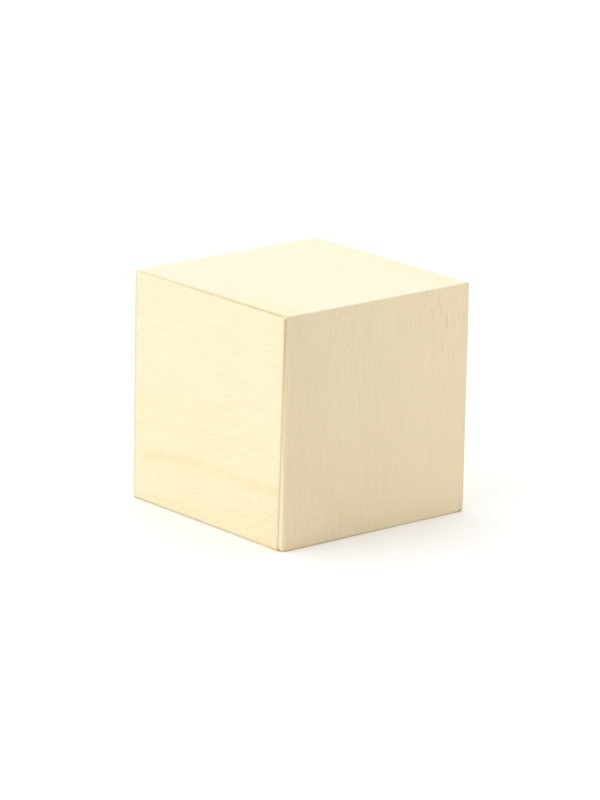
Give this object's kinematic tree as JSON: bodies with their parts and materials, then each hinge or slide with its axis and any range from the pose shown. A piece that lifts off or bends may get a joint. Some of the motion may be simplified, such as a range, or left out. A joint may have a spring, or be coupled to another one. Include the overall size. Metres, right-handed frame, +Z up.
{
  "type": "wooden cube",
  "caption": "Plain solid cube of pale wood with lightly sanded arrises and a worn upright edge, for stacking, spacing, propping or craft use on a bench or desk.",
  "frame": {"origin": "centre of the face that the cube stands on", "axes": "+Z up; -Y is the front face, with the grain along X; +X is the right-hand face; the worn upright edge is between them"},
  "size_m": [0.05, 0.05, 0.05],
  "materials": {
    "pale_wood": "sanded, bare"
  },
  "bodies": {
    "root": {"wooden_cube": "pale_wood"}
  },
  "joints": []
}
